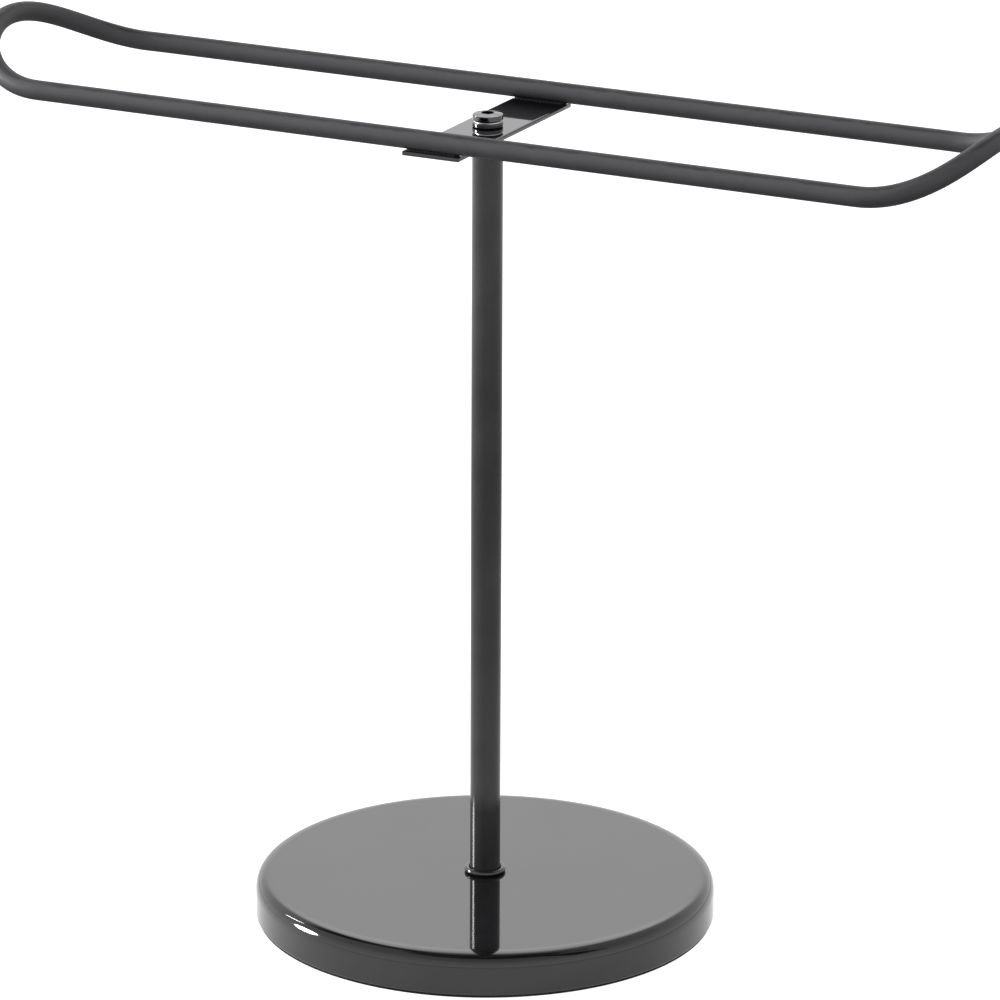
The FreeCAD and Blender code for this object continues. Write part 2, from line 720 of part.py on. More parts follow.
def make_weld_seams():
    """Two straight seams that join the underside of the bars to the cross plate."""
    seams = []
    for side in (-1, 1):
        bead = doc.addObject("Part::Box", "seam_bead")
        bead.setExpression("Length", "dims.weld_length")
        bead.setExpression("Width", "dims.weld_width")
        bead.setExpression("Height", "dims.weld_gap + dims.wire_diameter / 2")
        bead.setExpression("Placement.Base.x", "-dims.weld_length / 2")
        bead.setExpression("Placement.Base.y", f"({side} * dims.bar_spacing - dims.weld_width) / 2")
        bead.setExpression("Placement.Base.z", PLATE_TOP)
        wire = doc.addObject("Part::Cylinder", "seam_wire")
        wire.Placement = Placement(Vector(0, 0, 0), Rotation(Vector(0, 1, 0), 90))
        wire.setExpression("Radius", "dims.wire_diameter / 2")
        wire.setExpression("Height", "dims.plate_width")
        wire.setExpression("Placement.Base.x", "-dims.plate_width / 2")
        wire.setExpression("Placement.Base.y", f"{side} * dims.bar_spacing / 2")
        wire.setExpression("Placement.Base.z", "dims.bar_height")
        seam = doc.addObject("Part::Cut", "seam")
        seam.Base = bead
        seam.Tool = wire
        seams.append(seam)
    group = doc.addObject("Part::Compound", "weld_seams")
    group.Label = "weld_seams"
    group.Links = seams
    doc.recompute()
    subparts.append(group)


# ---------------------------------------------------------------- whole rack


def make_rack():
    make_base_cover()
    make_base_weight()
    make_base_pad()
    make_base_bolt()
    make_base_washers()
    make_pole()
    make_foot_ring()
    make_pivot_washers()
    make_disc_spring()
    make_pivot_screw()
    make_pivot_bushing()
    make_cross_plate()
    make_wire_loop()
    make_weld_seams()
    doc.recompute()


def check_document():
    for item in doc.Objects:
        if "Invalid" in item.State or "Error" in item.State:
            raise ValueError(f"{item.Label} failed: {item.State}")
    for item in subparts:
        if item.Shape.isNull() or not item.Shape.isValid() or not item.Shape.Solids:
            raise ValueError(f"{item.Label} has no valid solid")


def write_parts():
    os.makedirs("parts", exist_ok=True)
    for item in subparts:
        item.Shape.exportStep(f"parts/{item.Label}.step")
        box = item.Shape.BoundBox
        print(
            f"{item.Label}: {len(item.Shape.Solids)} solid(s), {item.Shape.Volume:.2f} mm3, "
            f"z {box.ZMin:.2f} to {box.ZMax:.2f}"
        )


make_rack()
check_document()
write_parts()
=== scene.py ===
import json
import math

import bmesh
import bpy
from mathutils import Matrix, Vector


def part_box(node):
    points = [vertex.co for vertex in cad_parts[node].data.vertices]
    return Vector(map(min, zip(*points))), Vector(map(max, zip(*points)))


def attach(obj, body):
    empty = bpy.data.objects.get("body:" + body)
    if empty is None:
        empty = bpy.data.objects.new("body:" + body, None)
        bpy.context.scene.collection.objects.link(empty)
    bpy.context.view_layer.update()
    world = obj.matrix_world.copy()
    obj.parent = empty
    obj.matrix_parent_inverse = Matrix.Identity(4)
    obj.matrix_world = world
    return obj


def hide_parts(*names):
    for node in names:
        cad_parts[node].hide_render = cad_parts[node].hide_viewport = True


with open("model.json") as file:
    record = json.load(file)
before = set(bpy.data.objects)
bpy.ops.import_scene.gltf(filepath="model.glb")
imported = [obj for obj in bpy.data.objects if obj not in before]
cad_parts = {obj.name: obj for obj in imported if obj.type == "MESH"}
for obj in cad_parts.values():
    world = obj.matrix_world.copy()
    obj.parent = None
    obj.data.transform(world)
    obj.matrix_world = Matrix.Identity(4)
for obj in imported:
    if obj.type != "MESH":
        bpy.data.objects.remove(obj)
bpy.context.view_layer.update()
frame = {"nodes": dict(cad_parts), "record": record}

# A small rotating display rack: round lacquered base, slim pole, cross plate that turns on a shoulder screw,
# and a closed loop of satin wire. All lengths are in metres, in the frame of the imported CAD.

MM = 0.001

# ---------------------------------------------------------------- sizes that the node boxes don't give

COVER_EDGE_REACH = 4.6 * MM
COVER_EDGE_DROP = 3.7 * MM
COVER_EDGE_FULLNESS = 0.7
COVER_RIM_ROUNDING = 0.4 * MM
COVER_WALL = 1.2 * MM
COVER_INNER_ROUNDING = 2.2 * MM
COVER_HOLE = 4.4 * MM
COVER_FLAT_MARGIN = 0.24 * MM
PAD_HOLE = 16.0 * MM
PAD_EDGE_ROUNDING = 0.12 * MM

POLE_CHAMFER = 0.3 * MM
# The tapped holes: diameter and depth.
POLE_LOWER_TAP = (4.0 * MM, 12.0 * MM)
POLE_UPPER_TAP = (3.0 * MM, 10.0 * MM)
DRILL_POINT_SLOPE = 0.6

FLASH_WIDTH = 0.14 * MM
FLASH_HEIGHT = 0.015 * MM

WIRE_RADIUS = 2.15 * MM
END_BEND_START = 95.6 * MM
END_BEND_RADIUS = 28.0 * MM
END_REACH = 118.79 * MM

PLATE_EDGE = 0.3 * MM
PLATE_LEAST_CORNER = 0.02 * MM
PLATE_FLAT_MARGIN = 0.15 * MM
BUSHING_SLEEVE = 5.2 * MM
BUSHING_BORE = 4.1 * MM
BUSHING_FLANGE = 0.5 * MM

WASHER_HOLE = 4.2 * MM
WASHER_ROUNDING = 0.25 * MM
THIN_EDGE = 0.06 * MM
SPRING_SHEET = 0.25 * MM

SHOULDER = 4.0 * MM
SCREW_HEAD_SIDE = 1.1 * MM
SCREW_HEAD_DOME = 0.4 * MM
SCREW_HEAD_EDGE = 0.12 * MM
SCREW_DOME_START = 3 * SCREW_HEAD_EDGE
SCREW_KEY = 2.5 * MM
SCREW_KEY_DEPTH = 1.0 * MM
SCREW_KEY_CHAMFER = 0.08 * MM
SCREW_KEY_DIP = 0.3 * SCREW_KEY_CHAMFER
SCREW_THREAD = 3.0 * MM
SCREW_THREAD_LENGTH = 8.0 * MM
SCREW_PITCH = 0.5 * MM
SCREW_THREAD_DEPTH = 0.6 * SCREW_PITCH

SEAM_WIDTH = 1.6 * MM
SEAM_CROWN_SHARE = 0.86
SEAM_END = 0.8 * MM
SEAM_END_MARGIN = 0.02 * MM
SEAM_RIPPLE = 0.9 * MM
SEAM_RIPPLE_DEPTH = 0.05 * MM

# ---------------------------------------------------------------- mesh resolution

# Points round the pieces, and spans along them. A guard is the distance from a rounding to an extra point,
# which keeps the shading of the flat side beyond it flat. The flat margins above do the same for level faces.
WIDE_TURN = 288
SMALL_TURN = 96
WIRE_TURN = 48
RING_SECTION_TURN = 64
END_SPANS = 96
BAR_SPANS = 12
DOME_SPANS = 20
PLATE_SIDE_SPANS = 16
PLATE_LONG_SIDE = 1 * MM
SEAM_SPANS = 96
SEAM_CROWN_SPANS = 6
GUARD = 0.03 * MM
SHARP_ANGLE = math.radians(35)

slot_of = {part["node"]: part["material_slot"] for part in frame["record"]["subparts"]}
body_of = {
    node: body
    for body, nodes in frame["record"]["behaviour"]["bodies"].items()
    for node in nodes
}

# Centrelines of the two bars of the wire loop: their distance from the pole's axis, and their level.
loop_low, loop_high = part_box("wire_loop")
BAR_OFFSET = loop_high.y - WIRE_RADIUS
BAR_LEVEL = loop_low.z + WIRE_RADIUS


# ---------------------------------------------------------------- mesh helpers


def rounded_outline(corners, steps=8):
    """Points of an outline in the plane; each corner is (x, z) or (x, z, rounding radius)."""
    points = []
    count = len(corners)
    for index, corner in enumerate(corners):
        here = Vector(corner[:2])
        if len(corner) == 2:
            points.append(here)
            continue
        radius = corner[2]
        back = (Vector(corners[index - 1][:2]) - here).normalized()
        ahead = (Vector(corners[(index + 1) % count][:2]) - here).normalized()
        half = back.angle(ahead) / 2
        reach = radius / math.tan(half)
        centre = here + (back + ahead).normalized() * radius / math.sin(half)
        start = here + back * reach - centre
        sweep = start.angle_signed(here + ahead * reach - centre)
        points.append(here + back * (reach + GUARD))
        for step in range(steps + 1):
            turned = start.copy()
            turned.rotate(Matrix.Rotation(-sweep * step / steps, 2))
            points.append(centre + turned)
        points.append(here + ahead * (reach + GUARD))
    return points


def soft_corner(start, toward_start, toward_end, end, steps=40):
    """Points of a smooth curve between two ends, drawn towards two control points."""
    points = []
    for step in range(steps + 1):
        share = step / steps
        rest = 1 - share
        weights = (rest**3, 3 * rest**2 * share, 3 * rest * share**2, share**3)
        stops = (start, toward_start, toward_end, end)
        points.append(sum((Vector(stop) * weight for stop, weight in zip(stops, weights)), Vector((0, 0))))
    return points


def circle(radius, level, count):
    """Points round the pole's axis, or the one point on it."""
    if radius == 0:
        return [Vector((0, 0, level))]
    turns = [math.tau * step / count for step in range(count)]
    return [Vector((radius * math.cos(turn), radius * math.sin(turn), level)) for turn in turns]


def add_loft(work, loops, closed=False):
    """Skins loops that have the same number of points, or one point, and returns their vertices."""
    rings = [[work.verts.new(point) for point in loop] for loop in loops]
    pairs = list(zip(rings, rings[1:]))
    if closed:
        pairs.append((rings[-1], rings[0]))
    for low, high in pairs:
        count = max(len(low), len(high))
        for index in range(count):
            after = (index + 1) % count
            if len(low) == 1:
                work.faces.new((low[0], high[after], high[index]))
            elif len(high) == 1:
                work.faces.new((low[index], low[after], high[0]))
            else:
                work.faces.new((low[index], low[after], high[after], high[index]))
    return rings


def make_piece(name, work):
    """Turns the bmesh into an object with smooth shading up to the sharp angle."""
    bmesh.ops.recalc_face_normals(work, faces=work.faces)
    mesh = bpy.data.meshes.new(name)
    work.to_mesh(mesh)
    work.free()
    mesh.polygons.foreach_set("use_smooth", [True] * len(mesh.polygons))
    mesh.set_sharp_from_angle(angle=SHARP_ANGLE)
    piece = bpy.data.objects.new(name, mesh)
    bpy.context.scene.collection.objects.link(piece)
    return piece


def lathe(name, outline, count=SMALL_TURN, closed=True):
    """A turned piece: the outline holds (radius, height) points."""
    work = bmesh.new()
    add_loft(work, [circle(radius, level, count) for radius, level in outline], closed)
    return make_piece(name, work)


def stands_for(piece, node):
    """Puts the piece in the place of a CAD node: same body, same finish."""
    piece.data.materials.append(finishes[slot_of[node]])
    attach(piece, body_of[node])
    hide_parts(node)


# ---------------------------------------------------------------- materials


RISING = (0.0, 1.0)
FALLING = (1.0, 0.0)

# Most values of a noise lie in this range.
NOISE_RANGE = (0.3, 0.7)

# Tilt is the size of a normal's Z: one on level faces, zero on upright walls. Wear fades out near both.
LEVEL_TILT = (0.97, 0.995)
UPRIGHT_TILT = (0.005, 0.03)
WEAR_PATCH_SIZE = 1.3 * MM
WEAR_PATCH_RANGE = (0.42, 0.62)


class Nodes:
    """Shorthand for the nodes of a shader tree."""

    def __init__(self, tree):
        self.tree = tree

    def add(self, kind, inputs=None, **settings):
        made = self.tree.nodes.new(kind)
        for setting, value in settings.items():
            setattr(made, setting, value)
        for socket, value in (inputs or {}).items():
            if isinstance(value, bpy.types.NodeSocket):
                self.tree.links.new(value, made.inputs[socket])
            else:
                made.inputs[socket].default_value = value
        return made

    def maths(self, operation, first, second=0.0):
        return self.add("ShaderNodeMath", {0: first, 1: second}, operation=operation).outputs[0]

    def scaled(self, vector, factors):
        inputs = {0: vector, 1: factors}
        return self.add("ShaderNodeVectorMath", inputs, operation="MULTIPLY").outputs["Vector"]

    def length(self, vector):
        return self.add("ShaderNodeVectorMath", {0: vector}, operation="LENGTH").outputs["Value"]

    def height(self, vector):
        return self.add("ShaderNodeSeparateXYZ", {0: vector}).outputs["Z"]

    def spread(self, value, source, target):
        """Maps a value from one range to another, clamped."""
        inputs = {
            "Value": value,
            "From Min": source[0],
            "From Max": source[1],
            "To Min": target[0],
            "To Max": target[1],
        }
        return self.add("ShaderNodeMapRange", inputs).outputs["Result"]

    def smooth_step(self, value, start, full):
        inputs = {"Value": value, "From Min": start, "From Max": full}
        return self.add("ShaderNodeMapRange", inputs, interpolation_type="SMOOTHSTEP").outputs["Result"]

    def mixed(self, factor, first, second):
        """The first colour, turning into the second as the factor rises."""
        if isinstance(second, tuple):
            second = (*second, 1)
        inputs = {0: factor, 6: first, 7: second}
        return self.add("ShaderNodeMix", inputs, data_type="RGBA").outputs[2]


class Finish(Nodes):
    """One procedural material."""

    def __init__(self, name, **constants):
        self.material = bpy.data.materials.new(name)
        self.material.use_nodes = True
        super().__init__(self.material.node_tree)
        self.shader = self.tree.nodes["Principled BSDF"]
        for socket, value in constants.items():
            self.shader.inputs[socket.replace("_", " ")].default_value = value
        self.place = self.add("ShaderNodeTexCoord").outputs["Object"]
        self.normal = None

    def stretched(self, factors):
        return self.scaled(self.place, factors)

    def noise(self, size, detail=3.0, where=None):
        """Soft noise whose blotches are about as large as size."""
        inputs = {"Vector": where or self.place, "Scale": 1 / size, "Detail": detail}
        return self.add("ShaderNodeTexNoise", inputs).outputs["Fac"]

    def cells(self, size):
        inputs = {"Vector": self.place, "Scale": 1 / size}
        return self.add("ShaderNodeTexVoronoi", inputs).outputs["Distance"]

    def tones(self, value, dark, light, source=NOISE_RANGE):
        """A colour between dark and light, as the value goes through its range."""
        ramp = self.add("ShaderNodeValToRGB", {"Fac": self.spread(value, source, RISING)})
        ramp.color_ramp.elements[0].color = (*dark, 1)
        ramp.color_ramp.elements[1].color = (*light, 1)
        return ramp.outputs["Color"]

    def edges(self, start=0.52, full=0.62):
        """Near one on convex edges, broken up by noise, and zero on level faces and upright walls."""
        surface = self.add("ShaderNodeNewGeometry")
        worn = self.spread(surface.outputs["Pointiness"], (start, full), RISING)
        tilt = self.maths("ABSOLUTE", self.height(surface.outputs["Normal"]))
        worn = self.maths("MULTIPLY", worn, self.spread(tilt, LEVEL_TILT, FALLING))
        worn = self.maths("MULTIPLY", worn, self.spread(tilt, UPRIGHT_TILT, RISING))
        patches = self.spread(self.noise(WEAR_PATCH_SIZE), WEAR_PATCH_RANGE, RISING)
        return self.maths("MULTIPLY", worn, patches)

    def bump(self, height, depth):
        inputs = {"Height": height, "Distance": depth, "Strength": 1.0}
        if self.normal is not None:
            inputs["Normal"] = self.normal
        self.normal = self.add("ShaderNodeBump", inputs).outputs["Normal"]

    def done(self, colour, roughness):
        self.tree.links.new(colour, self.shader.inputs["Base Color"])
        self.tree.links.new(roughness, self.shader.inputs["Roughness"])
        if self.normal is not None:
            self.tree.links.new(self.normal, self.shader.inputs["Normal"])
        return self.material


def gloss_lacquer():
    """Black lacquer, almost a mirror: faint orange peel, wiping marks, worn edges."""
    finish = Finish("gloss_black_lacquer", IOR=1.5)
    tint = finish.tones(finish.noise(14 * MM), (0.0035, 0.0035, 0.004), (0.0075, 0.0075, 0.0085))
    worn = finish.edges(start=0.57, full=0.67)
    colour = finish.mixed(finish.maths("MULTIPLY", worn, 0.6), tint, (0.03, 0.03, 0.032))
    wiping = finish.noise(5 * MM, detail=4.0, where=finish.stretched((1.0, 0.35, 1.0)))
    smooth = finish.spread(wiping, (0.35, 0.75), (0.025, 0.06))
    roughness = finish.maths("ADD", smooth, finish.maths("MULTIPLY", worn, 0.12))
    finish.bump(finish.noise(2.6 * MM, 2.0), 0.0012 * MM)
    finish.bump(finish.noise(0.5 * MM, 2.0), 0.0001 * MM)
    return finish.done(colour, roughness)


def satin_black():
    """Charcoal powder coat with fine grain; its colour follows the normal: painted shade underneath and along
    the crest, painted light on the upper shoulders, and a smoother crest.
    """
    finish = Finish("satin_black_powder", IOR=1.45)
    finish.shader.inputs["Specular IOR Level"].default_value = 0.08
    upward = finish.height(finish.add("ShaderNodeNewGeometry").outputs["Normal"])
    uneven = finish.spread(finish.noise(5 * MM, 4.0), NOISE_RANGE, (-0.08, 0.08))
    upward = finish.maths("ADD", upward, uneven)
    # Painted shade and light by the normal's height: dark where it faces down, lightest on the upper
    # shoulders, darker again on the crest.
    under, painted_shoulder_light, crest = (0.013, 0.013, 0.014), (0.059, 0.059, 0.062), (0.029, 0.029, 0.031)
    colour = finish.tones(upward, under, painted_shoulder_light, source=(-0.85, 0.65))
    # The crest mask puts painted shade into the colour along the top and lowers the roughness there.
    crest_shade_and_gloss = finish.spread(upward, (0.72, 0.94), RISING)
    colour = finish.mixed(crest_shade_and_gloss, colour, crest)
    base = finish.spread(finish.noise(1.6 * MM, 4.0), NOISE_RANGE, (0.44, 0.56))
    roughness = finish.maths("SUBTRACT", base, finish.maths("MULTIPLY", crest_shade_and_gloss, 0.08))
    finish.bump(finish.noise(1.1 * MM, 2.0), 0.006 * MM)
    finish.bump(finish.noise(0.32 * MM, 3.0), 0.006 * MM)
    return finish.done(colour, roughness)


def weld_black():
    """Rough weld under a thin matt coat, kept near black as painted shade in the slot between bar and plate.
    """
    finish = Finish("weld_black", IOR=1.4)
    finish.shader.inputs["Specular IOR Level"].default_value = 0.1
    scale = finish.noise(0.6 * MM, 4.0)
    # Near-black colour: painted shade for the slot between bar and plate, with random tone over the weld's
    # scale.
    colour = finish.tones(scale, (0.006, 0.006, 0.006), (0.014, 0.0135, 0.013))
    roughness = finish.spread(scale, NOISE_RANGE, (0.6, 0.8))
    finish.bump(finish.noise(0.25 * MM, 3.0), 0.012 * MM)
    return finish.done(colour, roughness)


def pole_black():
    """Black paint on drawn rod: fine lines along the pole, worn at the edges of its ends."""
    finish = Finish("semi_gloss_black", IOR=1.36)
    tint = finish.tones(finish.noise(9 * MM, 4.0), (0.016, 0.016, 0.0165), (0.024, 0.024, 0.025))
    worn = finish.edges()
    colour = finish.mixed(finish.maths("MULTIPLY", worn, 0.7), tint, (0.05, 0.05, 0.052))
    drawn = finish.noise(0.5 * MM, 3.0, finish.stretched((1, 1, 0.02)))
    roughness = finish.spread(finish.noise(4 * MM, 4.0), NOISE_RANGE, (0.11, 0.17))
    finish.bump(finish.noise(1.8 * MM, 2.0, finish.stretched((1, 1, 0.4))), 0.0016 * MM)
    finish.bump(drawn, 0.0004 * MM)
    return finish.done(colour, roughness)


def rubber():
    """Moulded rubber: dark, slightly glossy, with a faint bloom."""
    finish = Finish("black_rubber", IOR=1.52)
    bloom = finish.noise(0.9 * MM, 4.0)
    colour = finish.tones(bloom, (0.006, 0.006, 0.006), (0.013, 0.013, 0.0125))
    roughness = finish.spread(bloom, NOISE_RANGE, (0.08, 0.14))
    finish.bump(finish.noise(0.18 * MM, 2.0), 0.0012 * MM)
    return finish.done(colour, roughness)


def foam_rubber():
    """Black foam sheet with fine open cells."""
    finish = Finish("black_foam", IOR=1.4)
    finish.shader.inputs["Specular IOR Level"].default_value = 0.1
    pores = finish.cells(0.45 * MM)
    # The pores are painted darker at their pits: painted shade in the dents that the bump below makes.
    colour = finish.tones(pores, (0.005, 0.005, 0.005), (0.015, 0.015, 0.0145), source=(0.1, 0.6))
    roughness = finish.spread(finish.noise(2 * MM), NOISE_RANGE, (0.82, 0.95))
    finish.bump(pores, 0.09 * MM)
    finish.bump(finish.noise(0.12 * MM), 0.02 * MM)
    return finish.done(colour, roughness)


def turned_metal(name, dark, light, roughness, mark_depth, mark_roughness):
    """Metal with turning marks round the object's axis."""
    finish = Finish(name, Metallic=1.0)
    radius = finish.length(finish.stretched((1, 1, 0)))
    rings = finish.add("ShaderNodeCombineXYZ", {"X": radius, "Y": finish.height(finish.place)})
    marks = finish.noise(0.12 * MM, 3.0, rings.outputs["Vector"])
    tint = finish.tones(finish.noise(1.7 * MM, 4.0), dark, light)
    worn = finish.edges()
    brighter = tuple(min(1.0, 1.25 * part) for part in light)
    colour = finish.mixed(finish.maths("MULTIPLY", worn, 0.6), tint, brighter)
    wear = finish.spread(finish.noise(0.6 * MM, 4.0), (0.35, 0.7), roughness)
    finish.bump(marks, mark_depth)
    return finish.done(colour, finish.maths("ADD", wear, finish.maths("MULTIPLY", marks, mark_roughness)))


def nylon():
    """Natural nylon, slightly mottled and waxy."""
    finish = Finish("natural_nylon", IOR=1.53)
    mottle = finish.noise(0.8 * MM, 3.0)
    colour = finish.tones(mottle, (0.72, 0.70, 0.63), (0.80, 0.79, 0.74))
    roughness = finish.spread(mottle, NOISE_RANGE, (0.36, 0.5))
    finish.bump(finish.noise(0.2 * MM, 2.0), 0.003 * MM)
    return finish.done(colour, roughness)


finishes = {
    "gloss_lacquer": gloss_lacquer(),
    "satin_black": satin_black(),
    "weld_black": weld_black(),
    "pole_black": pole_black(),
    "rubber": rubber(),
    "foam_rubber": foam_rubber(),
    "bare_steel": turned_metal(
        "turned_steel",
        dark=(0.36, 0.36, 0.37),
        light=(0.47, 0.47, 0.48),
        roughness=(0.28, 0.42),
        mark_depth=0.004 * MM,
        mark_roughness=0.1,
    ),
    "zinc_steel": turned_metal(
        "zinc_plate",
        dark=(0.56, 0.57, 0.58),
        light=(0.68, 0.69, 0.70),
        roughness=(0.22, 0.34),
        mark_depth=0.002 * MM,
        mark_roughness=0.08,
    ),
    "black_chrome": turned_metal(
        "dark_chrome",
        dark=(0.055, 0.055, 0.058),
        light=(0.095, 0.095, 0.099),
        roughness=(0.06, 0.14),
        mark_depth=0.0003 * MM,
        mark_roughness=0.03,
    ),
    "nylon": nylon(),
}


# ---------------------------------------------------------------- base


def make_cover():
    """Shell with a soft curve down its rim, open below."""
    low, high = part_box("base_cover")
    radius, hole = high.x, COVER_HOLE / 2
    inside = radius - COVER_WALL
    ceiling = high.z - COVER_WALL
    remainder = 1 - COVER_EDGE_FULLNESS
    top_edge = soft_corner(
        (radius - COVER_EDGE_REACH, high.z),
        (radius - COVER_EDGE_REACH * remainder, high.z),
        (radius, high.z - COVER_EDGE_DROP * remainder),
        (radius, high.z - COVER_EDGE_DROP),
    )
    outline = rounded_outline(
        [
            (hole, high.z),
            (radius - COVER_EDGE_REACH - COVER_FLAT_MARGIN, high.z),
            *top_edge,
            (radius, low.z, COVER_RIM_ROUNDING),
            (inside, low.z, THIN_EDGE),
            (inside, ceiling, COVER_INNER_ROUNDING),
            (hole, ceiling),
        ],
        steps=16,
    )
    stands_for(lathe("lacquered_cover", outline, WIDE_TURN), "base_cover")


def make_pad():
    """Thin sheet with a round hole for the bolt."""
    low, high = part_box("base_pad")
    outline = rounded_outline(
        [
            (PAD_HOLE / 2, low.z, PAD_EDGE_ROUNDING),
            (high.x, low.z, PAD_EDGE_ROUNDING),
            (high.x, high.z, THIN_EDGE),
            (PAD_HOLE / 2, high.z, THIN_EDGE),
        ]
    )
    stands_for(lathe("foam_pad", outline, WIDE_TURN), "base_pad")


# ---------------------------------------------------------------- pole


def make_pole():
    """Rod with chamfered ends and a tapped hole in each."""
    low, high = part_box("pole")
    radius = high.x
    lower, depth_below = POLE_LOWER_TAP
    upper, depth_above = POLE_UPPER_TAP
    outline = [
        (0, low.z + depth_below + DRILL_POINT_SLOPE * lower / 2),
        (lower / 2, low.z + depth_below),
        (lower / 2, low.z),
        (radius - POLE_CHAMFER, low.z),
        (radius, low.z + POLE_CHAMFER),
        (radius, low.z + POLE_CHAMFER + GUARD),
        (radius, high.z - POLE_CHAMFER - GUARD),
        (radius, high.z - POLE_CHAMFER),
        (radius - POLE_CHAMFER, high.z),
        (upper / 2, high.z),
        (upper / 2, high.z - depth_above),
        (0, high.z - depth_above - DRILL_POINT_SLOPE * upper / 2),
    ]
    stands_for(lathe("painted_pole", outline, closed=False), "pole")


def make_foot_ring():
    """O-ring with the faint flash line of its mould round the outside."""
    low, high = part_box("foot_ring")
    section = (high.z - low.z) / 2
    middle = high.x - section
    outline = []
    for step in range(RING_SECTION_TURN):
        turn = math.tau * step / RING_SECTION_TURN
        offset = section * math.sin(turn)
        flash = FLASH_HEIGHT * math.exp(-((2 * offset / FLASH_WIDTH) ** 2)) if math.cos(turn) > 0 else 0.0
        reach = section - FLASH_HEIGHT + flash
        outline.append((middle + reach * math.cos(turn), low.z + section + reach * math.sin(turn)))
    stands_for(lathe("rubber_foot_ring", outline), "foot_ring")


# ---------------------------------------------------------------- pivot


def make_washer(name, node, hole, rounding):
    """Plain washer; the rounding is that of its outer rims."""
    low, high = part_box(node)
    outline = rounded_outline(
        [
            (hole / 2, low.z, THIN_EDGE),
            (high.x, low.z, rounding),
            (high.x, high.z, rounding),
            (hole / 2, high.z, THIN_EDGE),
        ]
    )
    stands_for(lathe(name, outline), node)


def make_spring_washer():
    """Conical washer of thin sheet, higher at its hole."""
    low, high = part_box("disc_spring")
    hole = WASHER_HOLE / 2
    outline = rounded_outline(
        [
            (hole, high.z - SPRING_SHEET, THIN_EDGE / 2),
            (high.x, low.z, THIN_EDGE / 2),
            (high.x, low.z + SPRING_SHEET, THIN_EDGE),
            (hole, high.z, THIN_EDGE),
        ],
        steps=4,
    )
    stands_for(lathe("spring_washer", outline), "disc_spring")


def make_bushing():
    """Sleeve with a flange at its lower end."""
    low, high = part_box("pivot_bushing")
    bore, sleeve = BUSHING_BORE / 2, BUSHING_SLEEVE / 2
    shelf = low.z + BUSHING_FLANGE
    outline = rounded_outline(
        [
            (bore, low.z, THIN_EDGE),
            (high.x, low.z, THIN_EDGE),
            (high.x, shelf, THIN_EDGE),
            (sleeve, shelf),
            (sleeve, high.z, THIN_EDGE),
            (bore, high.z, THIN_EDGE),
        ],
        steps=4,
    )
    stands_for(lathe("nylon_bushing", outline), "pivot_bushing")


def hexagon(level_at, across_flats, count):
    """A hexagon with as many points as the loops round it; level_at gives the height at a radius."""
    points = []
    for step in range(count):
        turn = math.tau * step / count
        from_flat = (turn % (math.pi / 3)) - math.pi / 6
        radius = across_flats / 2 / math.cos(from_flat)
        points.append(Vector((radius * math.cos(turn), radius * math.sin(turn), level_at(radius))))
    return points


def make_screw():
    """Shoulder screw: domed head with a hexagon, bearing shoulder, thread drawn as rings."""
    low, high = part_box("pivot_screw")
    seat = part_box("disc_spring")[1].z
    side_top = seat + SCREW_HEAD_SIDE
    shoulder_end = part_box("pole")[1].z
    radius = high.x
    sphere = (radius**2 + SCREW_HEAD_DOME**2) / (2 * SCREW_HEAD_DOME)
    centre = side_top + SCREW_HEAD_DOME - sphere
    key_floor = side_top + SCREW_HEAD_DOME - SCREW_KEY_DEPTH

    def dome(reach):
        return centre + math.sqrt(sphere**2 - reach**2)

    thread = SCREW_THREAD / 2
    root = thread - SCREW_THREAD_DEPTH
    outline = [(0, low.z), (root, low.z)]
    rings = int(SCREW_THREAD_LENGTH / SCREW_PITCH) - 1
    for ring in range(rings):
        crest = low.z + (ring + 0.5) * SCREW_PITCH
        outline += [(thread, crest), (root, crest + 0.5 * SCREW_PITCH)]
    outline += [
        (root, shoulder_end),
        (SHOULDER / 2, shoulder_end),
        (SHOULDER / 2, seat),
        (radius - SCREW_HEAD_EDGE, seat),
        (radius, seat + SCREW_HEAD_EDGE),
    ]
    head_edge = [
        (radius, seat),
        (radius, side_top, SCREW_HEAD_EDGE),
        (radius - SCREW_DOME_START, dome(radius - SCREW_DOME_START)),
    ]
    outline += rounded_outline(head_edge)[1:-1]
    reach = outline[-1][0]
    key_corner = SCREW_KEY / math.sqrt(3) + 2 * SCREW_KEY_CHAMFER
    for span in range(1, DOME_SPANS + 1):
        across = reach + (key_corner - reach) * span / DOME_SPANS
        outline.append((across, dome(across)))
    loops = [circle(across, level, SMALL_TURN) for across, level in outline]
    loops += [
        hexagon(dome, SCREW_KEY + 2 * SCREW_KEY_CHAMFER, SMALL_TURN),
        hexagon(lambda across: dome(across) - SCREW_KEY_CHAMFER, SCREW_KEY, SMALL_TURN),
        hexagon(lambda across: key_floor, SCREW_KEY, SMALL_TURN),
        circle(0, key_floor - SCREW_KEY_DIP, SMALL_TURN),
    ]
    work = bmesh.new()
    add_loft(work, loops)
    stands_for(make_piece("shoulder_screw", work), "pivot_screw")


# ---------------------------------------------------------------- turning head


def rectangle(half_x, half_y, corner, level, steps=4):
    """Loop round a rectangle with rounded corners."""
    points = []
    for quarter, (side_x, side_y) in enumerate(((1, 1), (-1, 1), (-1, -1), (1, -1))):
        for step in range(steps + 1):
            turn = math.pi / 2 * (quarter + step / steps)
            x = side_x * (half_x - corner) + corner * math.cos(turn)
            y = side_y * (half_y - corner) + corner * math.sin(turn)
            points.append(Vector((x, y, level)))
    return points


def filled_sides(points):
    """Adds points on the long sides of a loop, so that a round loop inside it can be joined to it."""
    filled = []
    for index, point in enumerate(points):
        after = points[(index + 1) % len(points)]
        filled.append(point)
        if (after - point).length > PLATE_LONG_SIDE:
            shares = [span / PLATE_SIDE_SPANS for span in range(1, PLATE_SIDE_SPANS)]
            filled += [point.lerp(after, share) for share in shares]
    return filled


